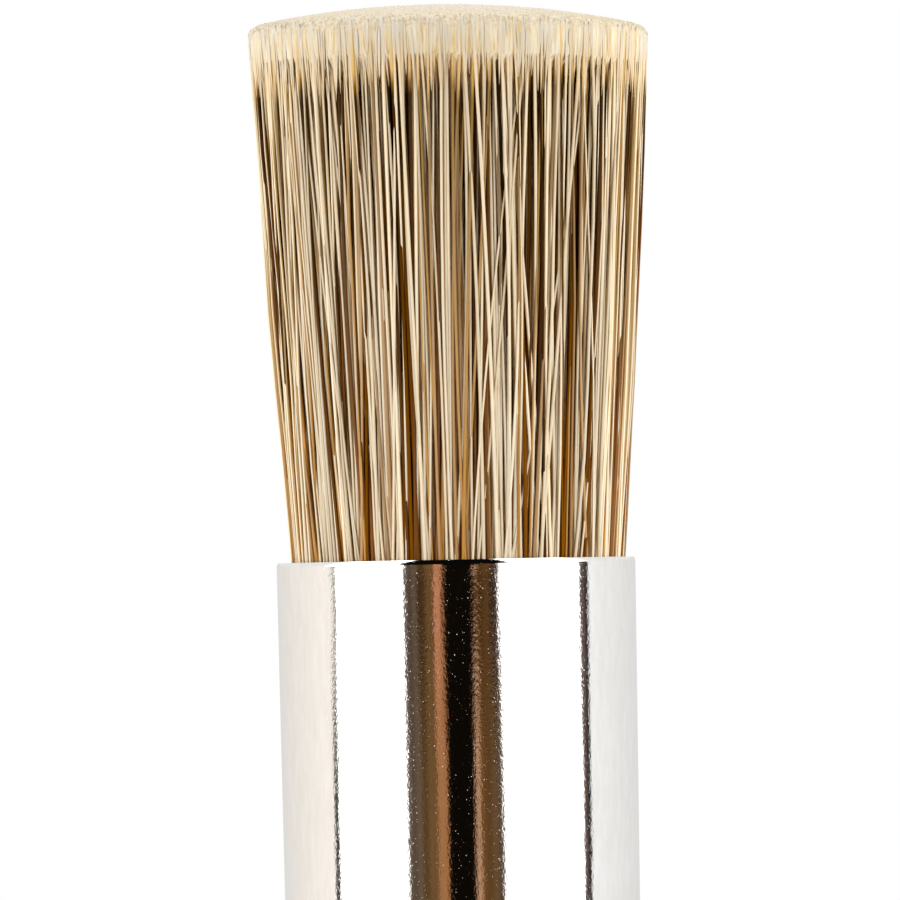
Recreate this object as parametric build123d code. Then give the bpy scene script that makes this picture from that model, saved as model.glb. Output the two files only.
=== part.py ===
from build123d import *
import os
from math import atan, cos, degrees, pi, radians, sqrt, tan

# Round stencil brush: a flared, domed head of bristle in a plated ferrule, on a short turned handle.
# Millimetres. The brush stands upright on its handle: +Z runs from the butt to the bristle tips, and
# the origin is the centre of the flat butt.

# --- driving dimensions ---------------------------------------------------------------------------
HANDLE_LENGTH = 80.0              # what shows below the ferrule
FERRULE_LENGTH = 38.0
BRISTLE_OUT = 34.0                # from the ferrule's rim to the top of the dome
RIM_RADIUS = 11.0                 # outside of the ferrule at its rim
BASE_RADIUS = 10.85               # outside of the ferrule's straight, crimped band
WALL = 0.5                        # the ferrule's sheet
FIT_GAP = 0.02                    # room between pieces that are pressed or glued together

FERRULE_Z = HANDLE_LENGTH
RIM_Z = FERRULE_Z + FERRULE_LENGTH
TIP_Z = RIM_Z + BRISTLE_OUT

# The ferrule's rim is turned in, and its lower band is crimped onto the tenon by two rolled grooves.
LIP_RADIUS = 10.36                # inside of the turned-in rim
LIP_HEIGHT = 0.65
LIP_OUTER_FILLET = 0.4
LIP_INNER_FILLET = 0.1
EDGE_FILLET = 0.15                # the lower edge
BAND_LENGTH = 14.0                # the straight band, below the slight taper
BAND_FILLET = 20.0                # eases the band into the taper
CRIMP_HEIGHTS = (4.0, 11.0)       # above the lower edge
CRIMP_DEPTH = 0.4
CRIMP_FLOOR = 0.7                 # flat at the bottom of a groove
CRIMP_SLOPE = 35.0                # of a groove's flank, in degrees from the axis
CRIMP_SHOULDER_FILLET = 0.8
CRIMP_FLOOR_FILLET = 0.4

# The nails, midway between the two crimps.
NAIL_COUNT = 3
NAIL_Z = FERRULE_Z + sum(CRIMP_HEIGHTS) / 2
NAIL_RADIUS = 0.45
NAIL_LENGTH = 5.0
NAIL_POINT_LENGTH = 1.0
NAIL_POINT_RADIUS = 0.1
NAIL_HEAD_RADIUS = 0.95
NAIL_HEAD_HEIGHT = 0.4
FIRST_NAIL_ANGLE = -90.0

# The handle: the swelling near the butt and the slim waist are each a radius and a height.
TENON_DEPTH = 18.0
SHOULDER_RADIUS = 10.6
BUTT_RADIUS = 7.0
BUTT_FILLET = 1.4
BELLY = (8.4, 18.0)
WAIST = (6.3, 50.0)
HANGING_HOLE_RADIUS = 2.5
HANGING_HOLE_Z = 16.0
HOLE_CHAMFER = 0.3

# The resin that holds the roots, and the bundle of filaments set in it.
RESIN_FLOOR = 3.0                 # between the tenon and the roots
RESIN_HEADROOM = 6.0              # from the resin's top to the rim
BUNDLE_RIM_RADIUS = 10.3          # outside of the bundle where it leaves the ferrule
BUNDLE_EDGE_RADIUS = 12.25        # outside of the bundle at the dome's edge
DOME_RADIUS = 56.0
DOME_EDGE_FILLET = 0.5

RESIN_TOP = RIM_Z - RESIN_HEADROOM
ROOT_Z = FERRULE_Z + TENON_DEPTH + RESIN_FLOOR
EDGE_Z = TIP_Z - DOME_RADIUS + sqrt(DOME_RADIUS**2 - BUNDLE_EDGE_RADIUS**2)
FLARE = (BUNDLE_EDGE_RADIUS - BUNDLE_RIM_RADIUS) / (EDGE_Z - RIM_Z)

# The outermost ring of filaments: tapered, six-sided, each leaning outwards with the flare.
FILAMENT_COUNT = 288
ROOT_RADIUS = 0.095
POINT_RADIUS = 0.045
CORE_GAP = 0.01                   # between that ring and the filaments inside it
# One turn of the blend, repeated round the ring: c is a cream filament, b a brown and a an amber one.
BLEND = "ccbcacbccbacbccabc"
BLEND_NODES = {"c": "cream_filaments", "b": "brown_filaments", "a": "amber_filaments"}


# --- helpers --------------------------------------------------------------------------------------
def bundle_radius(z):
    """Outside radius of the filament bundle at height z."""
    return BUNDLE_RIM_RADIUS + FLARE * (z - RIM_Z)


def revolved(*corners):
    """Solid of revolution about Z of a polygon given as radius and height."""
    with BuildLine(Plane.XZ) as outline:
        Polyline(*corners, close=True)
    return revolve(make_face(outline.edges()), axis=Axis.Z)


def tube(inner, outer, low, high):
    """A plain tube about Z."""
    return revolved((inner, low), (outer, low), (outer, high), (inner, high))


def sheath(inset):
    """All that lies inside the ferrule's outer skin, moved inwards by inset.

    The crimps' flanks and fillets move as a true offset does, so two sheaths stay the same distance
    apart everywhere.
    """
    slope = radians(CRIMP_SLOPE)
    half_floor = CRIMP_FLOOR / 2 + inset * tan(slope / 2)
    half_mouth = half_floor + CRIMP_DEPTH / tan(slope)
    skin = BASE_RADIUS - inset
    floor = skin - CRIMP_DEPTH
    shoulder_fillet = CRIMP_SHOULDER_FILLET - inset
    floor_fillet = CRIMP_FLOOR_FILLET + inset
    points = [(skin, FERRULE_Z)]
    fillets = []
    for height in CRIMP_HEIGHTS:
        middle = FERRULE_Z + height
        points += [
            (skin, middle - half_mouth),
            (floor, middle - half_floor),
            (floor, middle + half_floor),
            (skin, middle + half_mouth),
        ]
        fillets += [shoulder_fillet, floor_fillet, floor_fillet, shoulder_fillet]
    points += [(skin, FERRULE_Z + BAND_LENGTH), (RIM_RADIUS - inset, RIM_Z)]
    fillets += [BAND_FILLET]
    with BuildLine(Plane.XZ) as outline:
        FilletPolyline(*points, radius=fillets)
        Polyline(points[-1], (0, RIM_Z), (0, FERRULE_Z), points[0])
    return revolve(make_face(outline.edges()), axis=Axis.Z)


def level_circles(shape, z):
    """The circular edges of shape that lie level at height z, smallest first."""
    circles = shape.edges().filter_by(GeomType.CIRCLE).filter_by_position(Axis.Z, z, z)
    return circles.sort_by(SortBy.RADIUS)


# --- nails and their holes ------------------------------------------------------------------------
def nail_places():
    """Where the nails sit: +Z points outwards along each nail, from the ferrule's skin."""
    step = 360.0 / NAIL_COUNT
    return [
        Rot(0, 0, FIRST_NAIL_ANGLE + step * i) * Pos(BASE_RADIUS, 0, NAIL_Z) * Rot(0, 90, 0)
        for i in range(NAIL_COUNT)
    ]


def nail_holes():
    """The holes that the nails go through."""
    hole = tube(0, NAIL_RADIUS + FIT_GAP, -NAIL_LENGTH - FIT_GAP, NAIL_HEAD_HEIGHT)
    return [place * hole for place in nail_places()]


def make_nails():
    """Round-headed nails, each a pointed shank under a low dome."""
    shank = revolved(
        (0, -NAIL_LENGTH),
        (NAIL_POINT_RADIUS, -NAIL_LENGTH),
        (NAIL_RADIUS, NAIL_POINT_LENGTH - NAIL_LENGTH),
        (NAIL_RADIUS, NAIL_HEAD_HEIGHT / 2),
        (0, NAIL_HEAD_HEIGHT / 2),
    )
    cap_radius = (NAIL_HEAD_RADIUS**2 + NAIL_HEAD_HEIGHT**2) / (2 * NAIL_HEAD_HEIGHT)
    cap = Pos(0, 0, NAIL_HEAD_HEIGHT - cap_radius) * Sphere(cap_radius)
    # The head's flat underside clears the curve of the ferrule's skin.
    nail = shank + (cap & tube(0, NAIL_HEAD_RADIUS, FIT_GAP, NAIL_HEAD_HEIGHT))
    return Compound([place * nail for place in nail_places()])


# --- ferrule, handle and resin --------------------------------------------------------------------
def make_ferrule():
    """The plated tube: turned-in rim, slight taper, two rolled crimps and the nails' holes."""
    lip = tube(LIP_RADIUS, RIM_RADIUS - WALL / 2, RIM_Z - LIP_HEIGHT, RIM_Z)
    shell = sheath(0) - sheath(WALL) + lip
    shell = fillet(level_circles(shell, RIM_Z)[-1], LIP_OUTER_FILLET)
    shell = fillet(level_circles(shell, RIM_Z)[0], LIP_INNER_FILLET)
    shell = fillet(level_circles(shell, FERRULE_Z)[-1], EDGE_FILLET)
    for hole in nail_holes():
        shell -= hole
    return shell


def make_handle():
    """The turned handle: flat butt, belly, waist, shoulder, hanging hole and tenon."""
    shoulder_z = FERRULE_Z - FIT_GAP
    with BuildLine(Plane.XZ) as outline:
        Line((0, 0), (BUTT_RADIUS, 0))
        Spline(
            (BUTT_RADIUS, 0),
            BELLY,
            WAIST,
            (SHOULDER_RADIUS, shoulder_z),
            tangents=[(0.3, 1), (0.1, 1)],
        )
        Polyline((SHOULDER_RADIUS, shoulder_z), (0, shoulder_z), (0, 0))
    body = revolve(make_face(outline.edges()), axis=Axis.Z)
    body = fillet(level_circles(body, 0)[-1], BUTT_FILLET)
    hole = Rot(90, 0, 0) * tube(0, HANGING_HOLE_RADIUS, -2 * BELLY[0], 2 * BELLY[0])
    body -= Pos(0, 0, HANGING_HOLE_Z) * hole
    bore = body.faces().filter_by(GeomType.CYLINDER)
    body = chamfer(bore.edges().filter_by(GeomType.LINE, reverse=True), HOLE_CHAMFER)
    tenon = sheath(WALL + FIT_GAP) & tube(0, RIM_RADIUS, FERRULE_Z, FERRULE_Z + TENON_DEPTH)
    neck = tube(0, BASE_RADIUS - WALL - FIT_GAP, shoulder_z - WALL, FERRULE_Z + WALL)
    handle = body + neck + tenon
    for hole in nail_holes():
        handle -= hole
    return handle


def make_resin():
    """The cup of cured resin: a floor on the tenon and a collar round the roots."""
    low = FERRULE_Z + TENON_DEPTH + FIT_GAP
    socket = revolved(
        (0, ROOT_Z),
        (bundle_radius(ROOT_Z) + FIT_GAP, ROOT_Z),
        (bundle_radius(RIM_Z) + FIT_GAP, RIM_Z),
        (0, RIM_Z),
    )
    return (sheath(WALL + FIT_GAP) & tube(0, RIM_RADIUS, low, RESIN_TOP)) - socket


# --- bristle --------------------------------------------------------------------------------------
def make_core():
    """The packed filaments inside the outermost ring, as one closed solid with a domed top."""
    inset = 2 * ROOT_RADIUS + CORE_GAP
    low = ROOT_Z + FIT_GAP
    edge = BUNDLE_EDGE_RADIUS - inset
    edge_z = TIP_Z - DOME_RADIUS + sqrt(DOME_RADIUS**2 - edge**2)
    with BuildLine(Plane.XZ) as outline:
        Polyline((0, TIP_Z), (0, low), (bundle_radius(low) - inset, low), (edge, edge_z))
        RadiusArc((edge, edge_z), (0, TIP_Z), -DOME_RADIUS)
    core = revolve(make_face(outline.edges()), axis=Axis.Z)
    return fillet(level_circles(core, edge_z)[-1], DOME_EDGE_FILLET)


def make_filaments():
    """The outermost ring of filaments, sorted into one group of solids for each kind."""
    low = ROOT_Z + FIT_GAP
    length = EDGE_Z - DOME_EDGE_FILLET - low
    lean = degrees(atan(FLARE))
    middle = bundle_radius(low) - ROOT_RADIUS
    narrowing = degrees(atan((ROOT_RADIUS - POINT_RADIUS) * cos(pi / 6) / length))
    filament = extrude(RegularPolygon(ROOT_RADIUS, 6), length, taper=narrowing)
    groups = {kind: [] for kind in BLEND_NODES}
    for i in range(FILAMENT_COUNT):
        place = Rot(0, 0, 360.0 * i / FILAMENT_COUNT) * Pos(middle, 0, low) * Rot(0, lean, 0)
        groups[BLEND[i % len(BLEND)]].append(place * filament)
    return {BLEND_NODES[kind]: Compound(solids) for kind, solids in groups.items()}


def main():
    os.makedirs("parts", exist_ok=True)
    nodes = {
        "handle": make_handle(),
        "ferrule": make_ferrule(),
        "ferrule_nails": make_nails(),
        "resin_plug": make_resin(),
        "bristle_core": make_core(),
        **make_filaments(),
    }
    for name, shape in nodes.items():
        export_step(shape, f"parts/{name}.step")


main()
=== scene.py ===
"""The looks of the round stencil brush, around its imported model: bristle, ferrule, handle and studio.

Everything is in metres in the brush's own frame: +Z runs up from the butt to the bristle tips, and -Y is
the front. Lengths below are written in millimetres times MM.
"""

import math

import bpy
import numpy as np
from mathutils import Matrix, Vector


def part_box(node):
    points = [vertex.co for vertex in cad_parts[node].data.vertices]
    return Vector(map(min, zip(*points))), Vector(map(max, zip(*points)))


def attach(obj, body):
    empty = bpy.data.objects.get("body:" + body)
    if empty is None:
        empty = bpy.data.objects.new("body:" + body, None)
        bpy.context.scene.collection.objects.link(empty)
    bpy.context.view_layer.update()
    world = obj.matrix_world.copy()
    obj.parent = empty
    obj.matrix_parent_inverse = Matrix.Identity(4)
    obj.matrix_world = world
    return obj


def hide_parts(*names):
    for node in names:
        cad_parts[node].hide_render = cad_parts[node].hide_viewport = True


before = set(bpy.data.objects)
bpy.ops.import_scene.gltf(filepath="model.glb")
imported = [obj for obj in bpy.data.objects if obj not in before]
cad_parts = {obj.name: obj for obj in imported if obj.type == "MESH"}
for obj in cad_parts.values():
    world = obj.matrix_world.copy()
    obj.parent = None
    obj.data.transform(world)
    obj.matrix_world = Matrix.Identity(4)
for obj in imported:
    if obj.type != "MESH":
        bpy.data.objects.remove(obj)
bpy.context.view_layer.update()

MM = 0.001
TAU = 2 * math.pi
BODY = "root"

# --- sizes read from the frame --------------------------------------------------------------------
ferrule_low, ferrule_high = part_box("ferrule")
FERRULE_Z = ferrule_low.z
RIM_Z = ferrule_high.z
FERRULE_LENGTH = RIM_Z - FERRULE_Z
TIP_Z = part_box("bristle_core")[1].z
BRISTLE_OUT = TIP_Z - RIM_Z
TIP_SPREAD = 0.12 * MM            # the outermost tips, past the CAD model's filaments
TIP_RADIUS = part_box("cream_filaments")[1].x + TIP_SPREAD

# --- the ferrule's section, the CAD model's but for a fuller curve up to the lip ------------------
RIM_RADIUS = 11.0 * MM
BASE_RADIUS = 10.85 * MM
WALL = 0.5 * MM
LIP_RADIUS = 10.36 * MM
LIP_HEIGHT = 0.65 * MM
LIP_FILLET = 0.6 * MM
LIP_ARC = 32                      # degrees of the shoulder's curve, up to the lip's flat top
LIP_EDGE = 0.1 * MM               # the rounding of its inner edge, and the slope under it
FOOT_EDGE = 0.12 * MM
BAND_LENGTH = 14.0 * MM           # the straight part above the foot
CRIMP_HEIGHTS = (4.0 * MM, 11.0 * MM)
CRIMP_DEPTH = 0.4 * MM
CRIMP_HALF_WIDTH = 1.15 * MM
FERRULE_SEGMENTS = 256

# --- the bundle of bristle ------------------------------------------------------------------------
BUNDLE_RIM_RADIUS = 10.16 * MM
BUNDLE_SHIFT = 0.14 * MM          # it sits slightly to +X in its ferrule
BARREL = 0.06 * MM                # how far the flare bulges beyond a straight cone at mid height
DOME_RADIUS = 56.0 * MM
EDGE_FILLET = 0.5 * MM
TRIM_TILT = math.radians(0.9)     # the dome is cut very slightly askew, higher at -X
ROOT_Z = RIM_Z - 1.5 * MM         # where the full-length strands start, inside the ferrule

# --- its strands ----------------------------------------------------------------------------------
STRAND_COUNT = 11000
STRAND_RADIUS = 0.097 * MM
THICKNESSES = (0.7, 1.3)          # the thinnest and the thickest, as shares of that radius
TIP_SHARE = 0.84                  # a strand's thickness near its tip, of that at its root
END_SHARE = 0.8                   # and at its very end, of that near its tip
FOOT_SHARE = 0.1                  # the hidden foot of a short one, of its thickness above
FULL_LENGTH_FROM = 0.875          # strands outside this share of the bundle's radius reach the ferrule
SHORT_STRAND = 6.0 * MM           # length of the others, of which only the tips can be seen
STRAND_UNEVEN = 0.035 * MM        # how far a strand stops short of the cut
SCATTER = 0.006                   # off an even spread, in radians and as a share of the radius
STRAY_SHARE = 0.24                # strands that cross their neighbours
DRIFT = 0.6 * MM                  # how far a tip leans round the bundle from its root
STRAY_DRIFT = 1.8 * MM
BUNCH_DRIFT = 0.35 * MM           # how far whole bunches lean together
CENTRE_RADIUS = 2.0 * MM          # inside this the lean is no more than it is here
BOW = 0.04 * MM                   # how far a strand bends outwards or inwards at mid height
STRAY_BOW = 0.08 * MM
SWAY = 0.25 * MM                  # and to the side
WEAVE = 0.07 * MM                 # and in and out in slow waves
WEAVE_HALF_TURNS = (1.5, 4.0)
BUNCH_DEPTHS = (200, 1500)        # how fast bunches change inwards, in radians per metre

# --- its split ends, round the edge of the cut ----------------------------------------------------
FLAG_COUNT = 3000
FLAG_RADIUS = 0.088 * MM
FLAG_FROM = 0.955                 # how far in they start, as a share of the bundle's radius
FLAG_SKIN = 0.975                 # the paler ones lie outside this share; the golden ones inside are painted warm shade
FLAG_LENGTHS = (0.8 * MM, 4.4 * MM)
FLAG_UNEVEN = 0.3 * MM
FLAG_END_SHARE = 0.35

# --- its blend of strands -------------------------------------------------------------------------
CREAM, BROWN, AMBER = range(3)
CREAM_SHARE = 0.58
CREAM_BUNCHING = 0.78             # how far that share swings from bunch to bunch
STRAY_CREAM = 0.3                 # how many more of the strays are cream
AMBER_SHARE = 0.5                 # of the strands that aren't cream
AMBER_BUNCHING = 0.4

# --- the packed body behind the strands -------------------------------------------------------------
BED_SHARE = 0.91                  # its size, of the bundle's, below the tips
BED_TIP_SHARE = 0.994             # and at the tips
BED_SWELL = (0.87, 0.95)          # between these shares of its height it grows from one to the other
BED_DROP = 0.06 * MM              # from the tips' ends down to its top
BED_RINGS = 40
BED_DOME_RINGS = 24
BED_SEGMENTS = 128

# --- the strands' meshes and shading --------------------------------------------------------------
SIDES = 5
FULL_STEPS = (0, 0.1, 0.22, 0.36, 0.5, 0.64, 0.78, 0.9, 0.985, 0.997)
SHORT_STEPS = (0, 0.95, 0.985)
FLAG_STEPS = (0, 0.4, 0.75, 0.985)
BLEND = 0.5                       # how far a strand's shading follows the bundle's
TIP_BLEND = 0.85                  # and near the tips, where light passes through the strands
END_LEAN = 1.2                    # how far the shading of a strand's last ring turns upwards
PALE_FROM = 0.815                 # where the pale tips begin, as a share of the free length
PALE_FULL = 0.89                  # and where they are fully pale
COLUMNS = 64                      # shades in each kind of strand, each a strip of the UV map
STRIP_MARGIN = 0.15               # left free at both sides of a strip
UV_EDGE = 0.002                   # left free at the foot and the top of the map
SHARP_ANGLE = math.radians(35)    # edges of the other meshes that stay sharp

rng = np.random.default_rng(20)


# --- node graphs ----------------------------------------------------------------------------------
def srgb(red, green, blue):
    """A colour given on an ordinary 0 to 255 screen scale, as linear RGBA."""

    def linear(value):
        share = value / 255
        return share / 12.92 if share <= 0.04045 else ((share + 0.055) / 1.055) ** 2.4

    return (linear(red), linear(green), linear(blue), 1.0)


def grey(level, warmth=0.0):
    """A linear grey, warmed towards red or, below 0, cooled towards blue."""
    return (level * (1 + warmth), level, level * (1 - warmth), 1.0)


class Graph:
    """A short way to write a node tree: every call adds one node, and sockets may be given as inputs."""

    def __init__(self, tree):
        self.tree = tree
        tree.nodes.clear()

    def add(self, kind, inputs=(), **settings):
        """Adds a node; inputs are sockets to link or values to set, by name or number."""
        node = self.tree.nodes.new(kind)
        for key, value in settings.items():
            setattr(node, key, value)
        for key, value in dict(inputs).items():
            if isinstance(value, bpy.types.NodeSocket):
                self.tree.links.new(value, node.inputs[key])
            else:
                node.inputs[key].default_value = value
        return node

    def math(self, operation, *values):
        return self.add("ShaderNodeMath", enumerate(values), operation=operation).outputs[0]

    def span(self, value, low, high, to_low=0.0, to_high=1.0):
        """value from low..high mapped smoothly onto to_low..to_high."""
        inputs = {"Value": value, "From Min": low, "From Max": high, "To Min": to_low, "To Max": to_high}
        return self.add("ShaderNodeMapRange", inputs, interpolation_type="SMOOTHSTEP").outputs[0]

    def ramp(self, value, stops):
        """A colour ramp through (position, colour) stops."""
        node = self.add("ShaderNodeValToRGB", {"Fac": value})
        elements = node.color_ramp.elements
        while len(elements) < len(stops):
            elements.new(1.0)
        for element, (position, colour) in zip(elements, stops):
            element.position = position
            element.color = colour
        return node.outputs["Color"]

    def mix(self, share, first, second, blend="MIX"):
        """Two colours mixed; the node's colour sockets come after those for numbers and vectors."""
        kind = {"data_type": "RGBA", "blend_type": blend}
        return self.add("ShaderNodeMix", {0: share, 6: first, 7: second}, **kind).outputs[2]

    def noise(self, vector, detail=2.0, roughness=0.5, distortion=0.0, scale=1.0):
        inputs = {"Vector": vector, "Scale": scale, "Detail": detail}
        inputs.update({"Roughness": roughness, "Distortion": distortion})
        return self.add("ShaderNodeTexNoise", inputs).outputs["Fac"]

    def stretched(self, x, y, z):
        """Object coordinates in millimetres, scaled along each axis."""
        place = self.add("ShaderNodeTexCoord").outputs["Object"]
        scale = (x / MM, y / MM, z / MM)
        return self.add("ShaderNodeMapping", {"Vector": place, "Scale": scale}).outputs["Vector"]

    def surface(self, colour, settings, bump=None, bump_distance=0.0, bump_strength=1.0):
        """The principled shader that ends a material; settings are its other inputs by name."""
        inputs = {"Base Color": colour, **settings}
        if bump is not None:
            height = {"Height": bump, "Distance": bump_distance, "Strength": bump_strength}
            inputs["Normal"] = self.add("ShaderNodeBump", height).outputs["Normal"]
        shader = self.add("ShaderNodeBsdfPrincipled", inputs).outputs["BSDF"]
        self.add("ShaderNodeOutputMaterial", {"Surface": shader})


def material(name):
    """A new material and the graph to build it with."""
    made = bpy.data.materials.new(name)
    made.use_nodes = True
    return made, Graph(made.node_tree)


# --- materials ------------------------------------------------------------------------------------
# Painted shade, golden and warm, on the strands' sides near the tips.
PAINTED_TIP_SIDE_SHADE = (1.0, 0.86, 0.59, 1.0)
MOTTLE = 0.24                     # how much a strand's brightness wanders along it
TIP_CONTRAST = 0.3                # what the pale tips keep of the differences in brightness
SATURATIONS = (0.88, 1.1)
PAINTED_SIDE_SHADE_SPAN = (0.45, 0.9)           # where the sides' painted shade ends; 0 is a strand's back, 1 its outer face

# The tips' colour in the kinds that aren't cream, as (share of the free length, colour).
TIP_STOPS = [
    (0.88, srgb(218, 182, 118)),
    (0.91, srgb(220, 190, 134)),
    (0.945, srgb(218, 203, 173)),
    (1.0, srgb(218, 216, 211)),
]


def strand_material(name, stops, edge, shade, shift):
    """A filament's colour from root to tip, in COLUMNS shades, read from its own strip of the UV map.

    edge is painted shade on a strand's sides, darker and warmer than its outer face, where its
    neighbours would shade it; near the tips a paler, golden painted shade takes its place. shade is how
    much the shades differ in brightness, shift how unevenly the tips' colour sets in.
    """
    made, graph = material(name)
    uv = graph.add("ShaderNodeUVMap", uv_map="OFBake").outputs["UV"]
    parts = graph.add("ShaderNodeSeparateXYZ", {"Vector": uv})
    strip = graph.math("MULTIPLY", parts.outputs["X"], COLUMNS)
    column = graph.math("FLOOR", strip)
    chance = graph.add("ShaderNodeTexWhiteNoise", {"W": column}, noise_dimensions="1D")
    chances = graph.add("ShaderNodeSeparateXYZ", {"Vector": chance.outputs["Color"]})
    offset = graph.math("MULTIPLY_ADD", chances.outputs["X"], shift, -shift / 2)
    height = graph.math("ADD", parts.outputs["Y"], offset)
    colour = graph.ramp(height, stops)
    along = graph.add("ShaderNodeCombineXYZ", {"X": column, "Y": parts.outputs["Y"]}).outputs[0]
    mottle = graph.math("MULTIPLY_ADD", graph.noise(along, 3.0, scale=9.0), MOTTLE, -MOTTLE / 2)
    spread = graph.math("MULTIPLY_ADD", chances.outputs["Y"], shade, -shade / 2)
    contrast = graph.span(height, PALE_FROM, PALE_FULL, 1.0, TIP_CONTRAST)
    value = graph.math("MULTIPLY_ADD", graph.math("ADD", spread, mottle), contrast, 1.0)
    least, most = SATURATIONS
    saturation = graph.math("MULTIPLY_ADD", chances.outputs["Z"], most - least, least)
    tone = {"Saturation": saturation, "Value": value, "Color": colour}
    toned = graph.add("ShaderNodeHueSaturation", tone).outputs["Color"]
    # Painted shade: a strand's sides are multiplied by a darker, warmer colour than its outer face.
    turned = graph.math("SUBTRACT", graph.math("FRACT", strip), 0.5)
    outward = graph.math("DIVIDE", graph.math("ABSOLUTE", turned), 0.5 - STRIP_MARGIN)
    side = graph.mix(graph.span(height, PALE_FROM, PALE_FULL), edge, PAINTED_TIP_SIDE_SHADE)
    tint = graph.mix(graph.span(outward, *PAINTED_SIDE_SHADE_SPAN), side, grey(1.0))
    side_shaded = graph.mix(1.0, toned, tint, blend="MULTIPLY")
    graph.surface(side_shaded, {"Roughness": 0.5, "Specular IOR Level": 0.01})
    return made


def cream_material():
    stops = [
        (0.0, srgb(233, 217, 189)),
        (0.3, srgb(235, 220, 192)),
        (0.8, srgb(231, 214, 184)),
        (0.86, srgb(230, 208, 172)),
        (0.91, srgb(218, 207, 187)),
        (1.0, srgb(217, 216, 213)),
    ]
    # edge is the painted shade on the strands' sides.
    return strand_material("cream_bristle", stops, edge=(0.66, 0.52, 0.3, 1.0), shade=0.42, shift=0.04)


def brown_material():
    stops = [
        (0.0, srgb(118, 73, 25)),
        (0.35, srgb(98, 59, 16)),
        (0.62, srgb(75, 46, 11)),
        (0.835, srgb(56, 34, 8)),
        (0.855, srgb(130, 92, 38)),
        *TIP_STOPS,
    ]
    # edge is the painted shade on the strands' sides.
    return strand_material("brown_bristle", stops, edge=(0.7, 0.56, 0.36, 1.0), shade=1.3, shift=0.045)


def amber_material():
    stops = [
        (0.0, srgb(180, 136, 80)),
        (0.3, srgb(180, 142, 94)),
        (0.6, srgb(164, 132, 88)),
        (0.825, srgb(144, 114, 66)),
        (0.85, srgb(200, 162, 98)),
        *TIP_STOPS,
    ]
    # edge is the painted shade on the strands' sides.
    return strand_material("amber_bristle", stops, edge=(0.64, 0.5, 0.31, 1.0), shade=0.7, shift=0.055)


def bed_material():
    """Between the strands: more of them, deeper in, painted darker as shade; on top, their cut ends."""
    made, graph = material("packed_bristle")
    streak = graph.noise(graph.stretched(2.4, 2.4, 0.02), 3.0, 0.6)
    fine = graph.noise(graph.stretched(8.0, 8.0, 0.1), 2.0, 0.6)
    tone = graph.math("MULTIPLY_ADD", fine, 0.6, graph.math("MULTIPLY", streak, 0.4))
    place = graph.add("ShaderNodeTexCoord").outputs["Object"]
    height = graph.add("ShaderNodeSeparateXYZ", {"Vector": place}).outputs["Z"]

    # The colours change at a level that rises and falls with the streaks: amber first, then pale.
    level = graph.math("MULTIPLY_ADD", streak, 4.5 * MM, height)
    lift = graph.span(level, TIP_Z - 5.2 * MM, TIP_Z - 3.2 * MM, 0.0, 0.14)
    # Lower down: the brown and amber strands' own colour, darkened further as painted shade for their
    # depth.
    deep_stops = [(0.42, srgb(76, 44, 10)), (0.5, srgb(140, 98, 46)), (0.6, srgb(206, 176, 126))]
    deep = graph.ramp(graph.math("ADD", tone, lift), deep_stops)
    pale_stops = [(0.42, srgb(210, 177, 118)), (0.5, srgb(226, 207, 168)), (0.58, srgb(229, 220, 198))]
    pale = graph.ramp(tone, pale_stops)
    colour = graph.mix(graph.span(level, TIP_Z - 3.5 * MM, TIP_Z - 2.5 * MM), deep, pale)

    ends = graph.noise(graph.stretched(5.0, 5.0, 5.0), 3.0, 0.65)
    cut_stops = [(0.36, srgb(186, 162, 120)), (0.5, srgb(209, 196, 170)), (0.62, srgb(217, 208, 192))]
    cut = graph.ramp(ends, cut_stops)
    colour = graph.mix(graph.span(height, TIP_Z - 2.6 * MM, TIP_Z - 1.4 * MM), colour, cut)
    graph.surface(colour, {"Roughness": 0.7}, bump=tone, bump_distance=0.02 * MM)
    return made


def nickel_material():
    """Bright nickel plate: nearly a mirror, with the fine grain and pinholes of thin plating."""
    made, graph = material("nickel_plate")
    grain = graph.noise(graph.stretched(7.0, 7.0, 4.2), 1.4, 0.6)
    ripple = graph.noise(graph.stretched(0.3, 0.3, 0.045))
    pinholes = graph.span(graph.noise(graph.stretched(13.0, 13.0, 13.0), 0.0), 0.79, 0.91)
    height = graph.math("MULTIPLY_ADD", ripple, 3.0, grain)
    height = graph.math("MULTIPLY_ADD", pinholes, 2.0, height)
    tint = graph.noise(graph.stretched(2.0, 2.0, 0.5), 3.0, 0.6)
    colour = graph.ramp(tint, [(0.3, (0.80, 0.775, 0.735, 1.0)), (0.7, (0.86, 0.84, 0.81, 1.0))])
    roughness = graph.math("MULTIPLY_ADD", grain, 0.06, 0.02)
    metal = {"Metallic": 1.0, "Roughness": roughness}
    graph.surface(colour, metal, bump=height, bump_distance=0.003 * MM)
    return made


def nail_material():
    """Plain steel, duller than the plate."""
    made, graph = material("nail_steel")
    grain = graph.noise(graph.stretched(9.0, 9.0, 9.0), 3.0, 0.6)
    colour = graph.ramp(grain, [(0.3, (0.42, 0.40, 0.37, 1.0)), (0.65, (0.68, 0.66, 0.63, 1.0))])
    roughness = graph.math("MULTIPLY_ADD", grain, 0.2, 0.18)
    metal = {"Metallic": 1.0, "Roughness": roughness}
    graph.surface(colour, metal, bump=grain, bump_distance=0.01 * MM)
    return made


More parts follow.
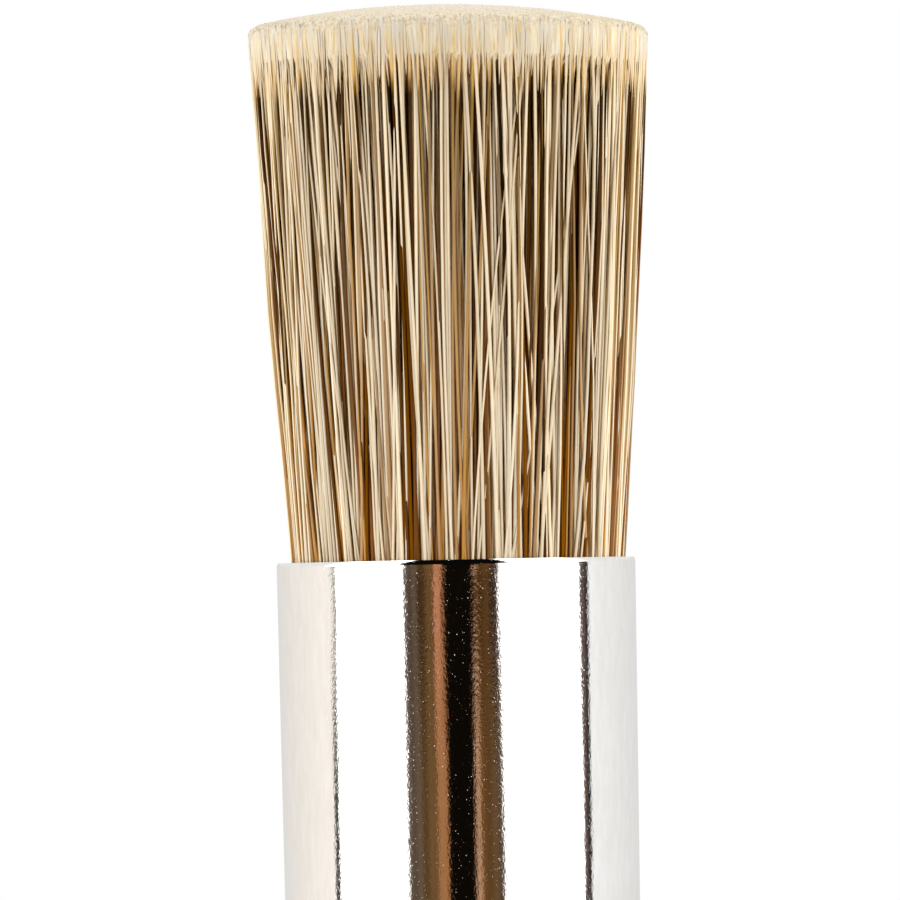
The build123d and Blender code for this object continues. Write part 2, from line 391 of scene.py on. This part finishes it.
def wood_material():
    """Lacquered beech: straight grain along the handle, growth rings on the turning, and short rays."""
    made, graph = material("lacquered_beech")
    warp = graph.noise(graph.stretched(0.09, 0.09, 0.012))
    fibre = graph.noise(graph.stretched(3.2, 3.2, 0.09), 4.0, 0.62)
    rings = graph.noise(graph.stretched(0.55, 0.12, 0.012), distortion=0.6)
    rays = graph.span(graph.noise(graph.stretched(2.6, 2.6, 0.42), 1.0), 0.63, 0.71)
    tone = graph.math("ADD", graph.math("MULTIPLY", rings, 0.65), graph.math("MULTIPLY", fibre, 0.35))
    tone = graph.math("MULTIPLY_ADD", warp, 0.25, graph.math("SUBTRACT", tone, 0.12))
    stops = [
        (0.3, srgb(176, 121, 74)),
        (0.46, srgb(205, 155, 103)),
        (0.6, srgb(222, 178, 127)),
        (0.75, srgb(196, 142, 90)),
    ]
    colour = graph.mix(graph.math("MULTIPLY", rays, 0.55), graph.ramp(tone, stops), srgb(136, 84, 46))
    lacquer = {
        "Roughness": graph.math("MULTIPLY_ADD", fibre, 0.2, 0.3),
        "Coat Weight": 0.8,
        "Coat Roughness": 0.07,
    }
    graph.surface(colour, lacquer, bump=fibre, bump_distance=0.03 * MM, bump_strength=0.5)
    return made


def resin_material():
    """Cured resin, amber brown and slightly cloudy."""
    made, graph = material("cured_resin")
    cloud = graph.noise(graph.stretched(0.5, 0.5, 0.5), 3.0)
    colour = graph.ramp(cloud, [(0.3, srgb(122, 74, 28)), (0.7, srgb(176, 120, 56))])
    graph.surface(colour, {"Roughness": graph.math("MULTIPLY_ADD", cloud, 0.2, 0.15)})
    return made


def floor_material():
    """A pale, matte, very slightly uneven table top."""
    made, graph = material("pale_floor")
    cloud = graph.noise(graph.stretched(0.02, 0.02, 0.02), 3.0)
    colour = graph.ramp(cloud, [(0.3, (0.80, 0.80, 0.79, 1.0)), (0.7, (0.84, 0.84, 0.83, 1.0))])
    graph.surface(colour, {"Roughness": 0.7, "Specular IOR Level": 0.2})
    return made


# --- meshes ---------------------------------------------------------------------------------------
def new_piece(name, points, faces, look):
    """A smooth-shaded object from points and faces, with its real edges left sharp."""
    mesh = bpy.data.meshes.new(name)
    mesh.from_pydata(points, [], faces)
    mesh.validate()
    mesh.shade_smooth()
    mesh.set_sharp_from_angle(angle=SHARP_ANGLE)
    mesh.materials.append(look)
    piece = bpy.data.objects.new(name, mesh)
    bpy.context.scene.collection.objects.link(piece)
    return piece


def lathe(name, profile, segments, look, closed):
    """A body of revolution about Z of (radius, height) points.

    closed joins the last point back to the first, as in a tube's wall; otherwise the profile starts
    and ends on the axis.
    """
    points, faces, rings = [], [], []
    for radius, height in profile:
        if radius == 0:
            rings.append([len(points)] * segments)
            points.append((0, 0, height))
            continue
        rings.append(list(range(len(points), len(points) + segments)))
        for i in range(segments):
            angle = TAU * i / segments
            points.append((radius * math.cos(angle), radius * math.sin(angle), height))
    count = len(rings) if closed else len(rings) - 1
    for row in range(count):
        lower, upper = rings[row], rings[(row + 1) % len(rings)]
        for i in range(segments):
            j = (i + 1) % segments
            face = [lower[i], lower[j], upper[j], upper[i]]
            faces.append(list(dict.fromkeys(face)))
    return new_piece(name, points, faces, look)


def arc(centre, radius, start, end, steps):
    """Points on an arc of the section, angles in degrees from outwards towards up."""
    angles = np.radians(np.linspace(start, end, steps))
    return [(centre[0] + radius * math.cos(a), centre[1] + radius * math.sin(a)) for a in angles]


# --- bristle --------------------------------------------------------------------------------------
def clump(angle, radius, waves, low, high):
    """A smooth random field around the bundle, about -1 to 1, made of waves low to high round the turn."""
    total = np.zeros_like(angle)
    for _ in range(waves):
        turns = rng.integers(low, high)
        depth = rng.uniform(*BUNCH_DEPTHS)
        total += np.sin(turns * angle + depth * radius + rng.uniform(0, TAU))
    return total / math.sqrt(waves)


def dome_height(radius, x):
    """The trimmed tips' height at a distance from the axis, with the rounded edge of the cut."""
    height = TIP_Z - DOME_RADIUS + np.sqrt(DOME_RADIUS**2 - radius**2) - x * math.tan(TRIM_TILT)
    past = np.clip(radius - (TIP_RADIUS - EDGE_FILLET), 0, EDGE_FILLET)
    return height - (EDGE_FILLET - np.sqrt(EDGE_FILLET**2 - past**2))


def around(radius, angle):
    """Points at a distance and bearing from the bundle's own axis."""
    return np.stack([BUNDLE_SHIFT + radius * np.cos(angle), radius * np.sin(angle)], 1)


def strand_field(count, start, radius, uneven):
    """Root, tip, bow and thickness of count strands, spread evenly from a share of the bundle outwards.

    uneven is how far their tips stop short of the cut.
    """
    index = np.arange(count) + 0.5
    share = np.sqrt(start**2 + (1 - start**2) * index / count)
    golden_angle = math.pi * (3 - math.sqrt(5))
    angle = index * golden_angle + rng.normal(0, SCATTER, count)
    stray = rng.random(count) < STRAY_SHARE
    drift = rng.normal(0, 1, count) * np.where(stray, STRAY_DRIFT, DRIFT)
    drift += BUNCH_DRIFT * clump(angle, share * TIP_RADIUS, waves=6, low=20, high=60)
    root_radius = share * (BUNDLE_RIM_RADIUS - radius)
    tip_share = np.clip(share + rng.normal(0, SCATTER, count), 0, 1)
    tip_radius = tip_share * (TIP_RADIUS - TIP_SHARE * radius)
    tip_angle = angle + drift / np.maximum(tip_radius, CENTRE_RADIUS)
    short = uneven * np.abs(rng.normal(0, 1, count))
    return {
        "share": share,
        "angle": angle,
        "stray": stray,
        "thick": radius * rng.uniform(*THICKNESSES, count),
        "root": around(root_radius, angle),
        "tip": around(tip_radius, tip_angle),
        "tip_z": dome_height(tip_radius, tip_radius * np.cos(tip_angle)) - short,
        "bow": share * BARREL + rng.normal(0, BOW, count) + np.where(stray, STRAY_BOW, 0),
        "sway": rng.normal(0, SWAY, count),
        "weave": rng.normal(0, WEAVE, count),
        "turns": rng.uniform(*WEAVE_HALF_TURNS, count) * math.pi,
    }


def strand_kinds(field):
    """CREAM, BROWN or AMBER for each strand: the kinds bunch, as in a blend that isn't quite even."""
    angle, stray = field["angle"], field["stray"]
    radius = field["share"] * BUNDLE_RIM_RADIUS
    cream = CREAM_SHARE + CREAM_BUNCHING * clump(angle, radius, waves=14, low=16, high=48)
    cream += STRAY_CREAM * stray
    amber = AMBER_SHARE + AMBER_BUNCHING * clump(angle, radius, waves=10, low=12, high=48)
    draw = rng.random(len(angle))
    other = np.where(rng.random(len(angle)) < amber, AMBER, BROWN)
    return np.where(draw < cream, CREAM, other)


def ring_directions(strands):
    """Which way is out of the bundle and to the side at each strand, and the corners of a ring there."""
    out = np.stack([np.cos(strands["angle"]), np.sin(strands["angle"])], 1)
    side = np.stack([-out[:, 1], out[:, 0]], 1)
    angles = TAU * np.arange(SIDES) / SIDES
    circle = np.cos(angles)[:, None] * out[:, None] + np.sin(angles)[:, None] * side[:, None]
    return out, side, circle[:, None]


def ring_centres(strands, along, out, side):
    """The middle of each ring: a straight line from root to tip, bowed, swayed and woven a little."""
    root, tip = strands["root"], strands["tip"]
    arch = 4 * along * (1 - along)
    weave = strands["weave"][:, None] * np.sin(strands["turns"][:, None] * along)
    path = root[:, None] + (tip - root)[:, None] * along[..., None]
    path += out[:, None] * (arch * (strands["bow"][:, None] + weave))[..., None]
    path += (side * strands["sway"][:, None])[:, None] * arch[..., None]
    return path


def strand_normals(free, circle, out):
    """Each strand's shading leans to that of the whole bundle, which its neighbours scatter light over.

    free is the rings' height, as a share of the free length.
    """
    count, rings = free.shape
    pale = np.clip((free - PALE_FROM) / (PALE_FULL - PALE_FROM), 0, 1)
    blend = (BLEND + (TIP_BLEND - BLEND) * pale)[..., None, None]
    facing = np.zeros((count, rings, SIDES, 3))
    facing[..., :2] = (1 - blend) * circle + blend * out[:, None, None]
    facing[:, -1, :, 2] = END_LEAN
    crown = np.tile((0.0, 0.0, 1.0), (count, 1, 1))
    normals = np.concatenate([facing.reshape(count, -1, 3), crown], 1).reshape(-1, 3)
    return normals / np.linalg.norm(normals, axis=1, keepdims=True)


def strand_faces(rings):
    """One strand's faces, as numbers of its points, and how far round the strand each corner is.

    The points are those of the rings from the foot up, and then the tip.
    """
    faces, turns = [], []
    for low in range(0, (rings - 1) * SIDES, SIDES):
        high = low + SIDES
        for i in range(SIDES):
            j = (i + 1) % SIDES
            faces.append([low + i, low + j, high + j, high + i])
            turns += [i, i + 1, i + 1, i]
    top = (rings - 1) * SIDES
    for i in range(SIDES):
        faces.append([top + i, top + (i + 1) % SIDES, rings * SIDES])
        turns += [i, i + 1, i + 0.5]
    faces.append(list(range(SIDES - 1, -1, -1)))
    turns += range(SIDES)
    return faces, np.array(turns) / SIDES


def strand_mesh(name, points, faces, uv, normals, look):
    """One object of many strands; points has a row for each, and faces are those of one of them."""
    count, per_strand = points.shape[:2]
    first = (np.arange(count) * per_strand)[:, None]
    corners = (first + np.concatenate(faces)).reshape(-1)
    sizes = np.tile([len(face) for face in faces], count)
    mesh = bpy.data.meshes.new(name)
    mesh.vertices.add(count * per_strand)
    mesh.vertices.foreach_set("co", points.reshape(-1))
    mesh.loops.add(len(corners))
    mesh.loops.foreach_set("vertex_index", corners)
    mesh.polygons.add(len(sizes))
    mesh.polygons.foreach_set("loop_start", np.concatenate([[0], np.cumsum(sizes)[:-1]]))
    layer = mesh.uv_layers.new(name="OFBake")
    layer.data.foreach_set("uv", uv.reshape(-1))
    mesh.update(calc_edges=True)
    mesh.validate()
    mesh.shade_smooth()
    mesh.normals_split_custom_set_from_vertices(normals)
    mesh.materials.append(look)
    piece = bpy.data.objects.new(name, mesh)
    bpy.context.scene.collection.objects.link(piece)
    return piece


def add_strands(name, field, chosen, steps, length, end, look):
    """A piece of many tapered strands, each closed at both ends; with no length they start at ROOT_Z.

    steps are the rings' heights as shares of a strand's length. end is the thickness at the very tip, as
    a share of that just below it.
    """
    strands = {key: values[chosen] for key, values in field.items()}
    count, tip_z = len(chosen), strands["tip_z"]
    foot_z = np.full(count, ROOT_Z) if length is None else tip_z - length
    z = foot_z[:, None] + (tip_z - foot_z)[:, None] * np.array(steps)
    along = np.clip((z - ROOT_Z) / (tip_z - ROOT_Z)[:, None], 0, 1)
    taper = 1 - (1 - TIP_SHARE) * along
    taper[:, -1] *= end
    if length is not None:
        taper[:, 0] *= FOOT_SHARE

    out, side, circle = ring_directions(strands)
    radius = (strands["thick"][:, None] * taper)[..., None, None]
    rings = np.empty((*z.shape, SIDES, 3))
    rings[..., :2] = ring_centres(strands, along, out, side)[:, :, None] + radius * circle
    rings[..., 2] = z[..., None]
    tip = np.concatenate([strands["tip"], tip_z[:, None]], 1)[:, None]
    points = np.concatenate([rings.reshape(count, -1, 3), tip], 1)

    faces, turns = strand_faces(len(steps))
    column = rng.integers(0, COLUMNS, count)
    u = (column[:, None] + STRIP_MARGIN + (1 - 2 * STRIP_MARGIN) * turns) / COLUMNS
    free = (z - RIM_Z) / BRISTLE_OUT
    height = np.concatenate([np.repeat(free, SIDES, 1), (tip_z[:, None] - RIM_Z) / BRISTLE_OUT], 1)
    v = np.clip(height[:, np.concatenate(faces)], UV_EDGE, 1 - UV_EDGE)
    normals = strand_normals(free, circle, out)
    piece = strand_mesh(name, points, faces, np.stack([u, v], 2), normals, look)
    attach(piece, BODY)
    return piece


def bristle():
    """The strands in three kinds, full length at the skin and short inside, and their split ends."""
    field = strand_field(STRAND_COUNT, 0, STRAND_RADIUS, STRAND_UNEVEN)
    kinds = strand_kinds(field)
    outer = field["share"] > FULL_LENGTH_FROM
    looks = (("cream", cream_material()), ("brown", brown_material()), ("amber", amber_material()))
    places = (("outer", FULL_STEPS, None, outer), ("inner", SHORT_STEPS, SHORT_STRAND, ~outer))
    for kind, (word, look) in enumerate(looks):
        for place, steps, length, chosen in places:
            members = np.flatnonzero(chosen & (kinds == kind))
            name = f"{word}_bristle_{place}"
            piece = add_strands(name, field, members, steps, length, END_SHARE, look)
            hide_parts(f"{word}_filaments")
    flags = strand_field(FLAG_COUNT, FLAG_FROM, FLAG_RADIUS, FLAG_UNEVEN)
    skin = flags["share"] > FLAG_SKIN
    # The split ends deeper in get the amber kind's golden tips: painted warm shade for the crevices they
    # lie in.
    for (word, look), chosen in ((looks[CREAM], skin), (looks[AMBER], ~skin)):
        members = np.flatnonzero(chosen)
        lengths = rng.uniform(*FLAG_LENGTHS, len(members))
        name = f"{word}_bristle_flags"
        piece = add_strands(name, flags, members, FLAG_STEPS, lengths, FLAG_END_SHARE, look)
        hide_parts(f"{word}_filaments")


def bristle_bed():
    """The body of packed strands behind the modelled ones; its top carries the tips' ends."""
    high = dome_height(TIP_RADIUS, 0) - BED_DROP
    profile = [(0, ROOT_Z)]
    for step in np.linspace(0, 1, BED_RINGS):
        share = np.interp(step, BED_SWELL, (BED_SHARE, BED_TIP_SHARE))
        flare = BUNDLE_RIM_RADIUS + (TIP_RADIUS - BUNDLE_RIM_RADIUS) * step
        radius = flare + BARREL * 4 * step * (1 - step)
        profile.append((share * radius, ROOT_Z + (high - ROOT_Z) * step))
    for radius in TIP_RADIUS * np.sin(np.linspace(math.pi / 2, 0, BED_DOME_RINGS))[1:]:
        profile.append((BED_TIP_SHARE * radius, dome_height(radius, 0) - BED_DROP))
    piece = lathe("bristle_bed", profile, BED_SEGMENTS, bed_material(), closed=False)
    for vertex in piece.data.vertices:
        rise = (vertex.co.z - ROOT_Z) / (high - ROOT_Z)
        vertex.co.z -= vertex.co.x * math.tan(TRIM_TILT) * rise
        vertex.co.x += BUNDLE_SHIFT
    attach(piece, BODY)
    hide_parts("bristle_core")


# --- ferrule --------------------------------------------------------------------------------------
def crimp(height):
    """How far the skin is pressed in by the rolled grooves, at a height above the ferrule's foot."""
    depth = 0.0
    for middle in CRIMP_HEIGHTS:
        away = min(abs(height - middle) / CRIMP_HALF_WIDTH, 1.0)
        depth += CRIMP_DEPTH * (0.5 + 0.5 * math.cos(math.pi * away))
    return depth


def skin_radius(height):
    """The outside of the ferrule at a height above its foot."""
    rise = max(height - BAND_LENGTH, 0) / (FERRULE_LENGTH - BAND_LENGTH)
    return BASE_RADIUS + (RIM_RADIUS - BASE_RADIUS) * rise - crimp(height)


def ferrule():
    """The plated tube with its turned-in rim and rolled grooves, as one closed wall."""
    shoulder_rise = LIP_FILLET * math.sin(math.radians(LIP_ARC))
    straight = np.linspace(FOOT_EDGE, BAND_LENGTH, 72)
    widening = np.linspace(BAND_LENGTH, FERRULE_LENGTH - shoulder_rise, 20)[1:]
    heights = np.concatenate([straight, widening])
    inner_heights = [h for h in heights[::-4] if h < FERRULE_LENGTH - 2 * LIP_HEIGHT]

    foot = arc((BASE_RADIUS - FOOT_EDGE, FERRULE_Z + FOOT_EDGE), FOOT_EDGE, -90, 0, 5)[:-1]
    outside = [(skin_radius(h), FERRULE_Z + h) for h in heights]
    shoulder = arc((RIM_RADIUS - LIP_FILLET, RIM_Z - shoulder_rise), LIP_FILLET, 0, LIP_ARC, 10)[1:]
    lip = arc((LIP_RADIUS + LIP_EDGE, RIM_Z - LIP_EDGE), LIP_EDGE, 90, 180, 5)
    under = [(LIP_RADIUS, RIM_Z - LIP_HEIGHT), (RIM_RADIUS - WALL, RIM_Z - LIP_HEIGHT - LIP_EDGE)]
    inside = [(skin_radius(h) - WALL, FERRULE_Z + h) for h in inner_heights]
    profile = foot + outside + shoulder + lip + under + inside + [(BASE_RADIUS - WALL, FERRULE_Z)]
    piece = lathe("plated_ferrule", profile, FERRULE_SEGMENTS, nickel_material(), closed=True)
    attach(piece, BODY)
    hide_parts("ferrule")


# --- studio ---------------------------------------------------------------------------------------
FLOOR_RADIUS = 165 * MM
FLOOR_SEGMENTS = 96


def floor():
    """A round, pale, matte table top."""
    points, faces = [(0, 0, 0)], []
    for i in range(FLOOR_SEGMENTS):
        angle = TAU * i / FLOOR_SEGMENTS
        points.append((FLOOR_RADIUS * math.cos(angle), FLOOR_RADIUS * math.sin(angle), 0))
        faces.append((0, 1 + i, 1 + (i + 1) % FLOOR_SEGMENTS))
    new_piece("studio_floor", points, faces, floor_material())


def sector(degrees):
    """A bearing round the studio, clockwise from the front seen from above, as a ramp position."""
    return 0.5 + degrees / 360


SOFTBOX = grey(3.0)

# Heights in the studio, as sines of the angle above the horizon, over which one look gives way to another.
TABLE_EDGE = (-0.2, -0.13)
BRUSH_LEVEL = (-0.036, -0.014)
OVERHEAD = (0.12, 0.16)
CEILING = (0.9, 0.95)
SEEN_HORIZON = (-0.09, -0.045)

# What stands between the softboxes, at the brush's height and just below it: the dark side of the room
# that the camera is in, with strips of copper light.
FRONT = [
    (sector(-34), srgb(118, 104, 94)),
    (sector(-30.5), srgb(70, 56, 46)),
    (sector(-27.5), srgb(106, 90, 76)),
    (sector(-24), srgb(60, 40, 22)),
    (sector(-20), srgb(84, 58, 30)),
    (sector(-17.5), srgb(124, 94, 58)),
    (sector(-15.6), srgb(60, 36, 16)),
    (sector(-14.4), srgb(214, 146, 112)),
    (sector(-10.4), srgb(196, 128, 92)),
    (sector(-9.2), grey(0.003, 0.4)),
    (sector(10.9), grey(0.003, 0.4)),
    (sector(11.7), srgb(88, 60, 30)),
    (sector(15), srgb(62, 38, 14)),
    (sector(18), srgb(98, 68, 34)),
    (sector(22), srgb(46, 34, 28)),
    (sector(26.2), srgb(62, 50, 44)),
    (sector(27.4), SOFTBOX),
]
FRONT_BELOW = [
    (sector(-34), srgb(122, 108, 96)),
    (sector(-30.5), srgb(84, 70, 60)),
    (sector(-26), srgb(116, 96, 74)),
    (sector(-23), srgb(86, 60, 34)),
    (sector(-19), srgb(122, 92, 58)),
    (sector(-15.6), srgb(110, 78, 46)),
    (sector(-14.4), srgb(170, 122, 78)),
    (sector(-8.6), srgb(176, 120, 78)),
    (sector(-7.6), grey(0.003, 0.4)),
    (sector(9.6), grey(0.003, 0.4)),
    (sector(10.3), srgb(224, 172, 136)),
    (sector(12.2), srgb(196, 150, 116)),
    (sector(13.2), srgb(120, 84, 46)),
    (sector(18), srgb(96, 66, 36)),
    (sector(22), srgb(112, 84, 54)),
    (sector(27.8), srgb(72, 56, 48)),
    (sector(29), SOFTBOX),
]


def eye_level(gap, gap_shade, front, right_edge):
    """What stands round the brush at its own height.

    gap is the bearings of a slit beyond the left softbox, and right_edge is where the right one ends.
    """
    left = [
        (sector(-180), grey(0.72, 0.01)),
        (sector(-98), grey(1.07, 0.05)),
        (sector(gap[0]), grey(1.07, 0.05)),
        (sector(gap[0] + 0.4), gap_shade),
        (sector(gap[1] - 0.4), gap_shade),
        (sector(gap[1]), SOFTBOX),
        (sector(-35.5), SOFTBOX),
    ]
    right = [
        (sector(right_edge), SOFTBOX),
        (sector(right_edge + 0.6), srgb(100, 84, 76)),
        (sector(90.4), srgb(96, 80, 74)),
        (sector(90.9), srgb(32, 30, 34)),
        (sector(93.4), srgb(32, 30, 34)),
        (sector(94.2), grey(1.08, -0.02)),
        (sector(180), grey(0.72)),
    ]
    return left + front + right


def below_the_table():
    """Past the table's edge: the dark camera side, the softboxes' feet and the room's far end."""
    return [
        (sector(-180), grey(0.3)),
        (sector(-140), grey(0.5)),
        (sector(-96), grey(0.9, 0.02)),
        (sector(-87), grey(1.5)),
        (sector(-38), grey(1.5)),
        (sector(-34), srgb(104, 84, 66)),
        (sector(-16), srgb(150, 112, 80)),
        (sector(-10), grey(0.01, 0.4)),
        (sector(10), grey(0.01, 0.4)),
        (sector(14), srgb(108, 80, 52)),
        (sector(29), srgb(80, 62, 50)),
        (sector(32), grey(1.5)),
        (sector(86), grey(1.5)),
        (sector(90), srgb(120, 112, 108)),
        (sector(95), grey(0.9)),
        (sector(140), grey(0.5)),
        (sector(180), grey(0.3)),
    ]


def round_the_room(front):
    """Higher up: front fills the space between the softboxes."""
    return [
        (sector(-180), grey(0.9)),
        (sector(-95), grey(1.0)),
        (sector(-87), SOFTBOX),
        (sector(-40), SOFTBOX),
        (sector(-36), front),
        (sector(32), front),
        (sector(36), SOFTBOX),
        (sector(86), SOFTBOX),
        (sector(95), grey(1.0)),
        (sector(180), grey(0.9)),
    ]


def walls():
    """The walls as the camera sees them: white behind the brush, pale grey at its sides and in front."""
    return [
        (sector(-180), grey(1.0)),
        (sector(-150), grey(1.0)),
        (sector(-115), grey(0.76)),
        (sector(115), grey(0.76)),
        (sector(150), grey(1.0)),
        (sector(180), grey(1.0)),
    ]


def studio_light():
    """A soft studio: two tall softboxes at the front's sides, a dark room between them, pale walls."""
    world = bpy.data.worlds.new("studio")
    bpy.context.scene.world = world
    world.use_nodes = True
    graph = Graph(world.node_tree)
    way = graph.add("ShaderNodeTexCoord").outputs["Generated"]
    parts = graph.add("ShaderNodeSeparateXYZ", {"Vector": way})
    front = graph.math("MULTIPLY", parts.outputs["Y"], -1.0)
    bearing = graph.math("ARCTAN2", parts.outputs["X"], front)
    turn = graph.math("MULTIPLY_ADD", bearing, 1 / TAU, 0.5)
    rise = parts.outputs["Z"]
    below = graph.ramp(turn, eye_level((-89.0, -84.8), grey(0.05), FRONT_BELOW, right_edge=86.2))
    level = graph.ramp(turn, eye_level((-86.4, -83.4), grey(0.3, 0.05), FRONT, right_edge=84.8))
    colour = graph.mix(graph.span(rise, *BRUSH_LEVEL), below, level)
    colour = graph.mix(graph.span(rise, *TABLE_EDGE), graph.ramp(turn, below_the_table()), colour)
    high = graph.ramp(turn, round_the_room(grey(0.003)))
    colour = graph.mix(graph.span(rise, *OVERHEAD), colour, high)
    colour = graph.mix(graph.span(rise, *CEILING), colour, grey(1.2))
    lit = graph.add("ShaderNodeBackground", {"Color": colour, "Strength": 1.0})
    backdrop = graph.mix(graph.span(rise, *SEEN_HORIZON), grey(1.0), graph.ramp(turn, walls()))
    seen = graph.add("ShaderNodeBackground", {"Color": backdrop, "Strength": 1.0})
    by_camera = graph.add("ShaderNodeLightPath").outputs["Is Camera Ray"]
    shown = graph.add("ShaderNodeMixShader", {0: by_camera, 1: lit.outputs[0], 2: seen.outputs[0]})
    graph.add("ShaderNodeOutputWorld", {"Surface": shown.outputs[0]})


def camera():
    """A long lens at bristle height, straight from the front and very slightly rolled."""
    distance = 450 * MM
    aside = -0.23 * MM
    height = RIM_Z - 1.0 * MM
    middle_of_view = TIP_Z - 27.25 * MM
    view_width = 55.2 * MM
    roll = math.radians(-1.13)
    pitch = math.atan2(middle_of_view - height, distance)
    data = bpy.data.cameras.new("camera")
    data.sensor_width = 36.0
    data.lens = data.sensor_width * distance / view_width
    data.clip_start = 10 * MM
    data.clip_end = 20.0
    made = bpy.data.objects.new("camera", data)
    bpy.context.scene.collection.objects.link(made)
    place = Matrix.Translation((aside, -distance, height))
    look = Matrix.Rotation(math.pi / 2 + pitch, 4, "X")
    made.matrix_world = place @ look @ Matrix.Rotation(roll, 4, "Z")
    bpy.context.scene.camera = made


def dress(node, look):
    """Gives a carried-over CAD node its material."""
    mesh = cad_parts[node].data
    mesh.materials.clear()
    mesh.materials.append(look)


bpy.context.scene.view_settings.view_transform = "Standard"
camera()
studio_light()
floor()
bristle()
bristle_bed()
ferrule()
dress("handle", wood_material())
dress("ferrule_nails", nail_material())
dress("resin_plug", resin_material())
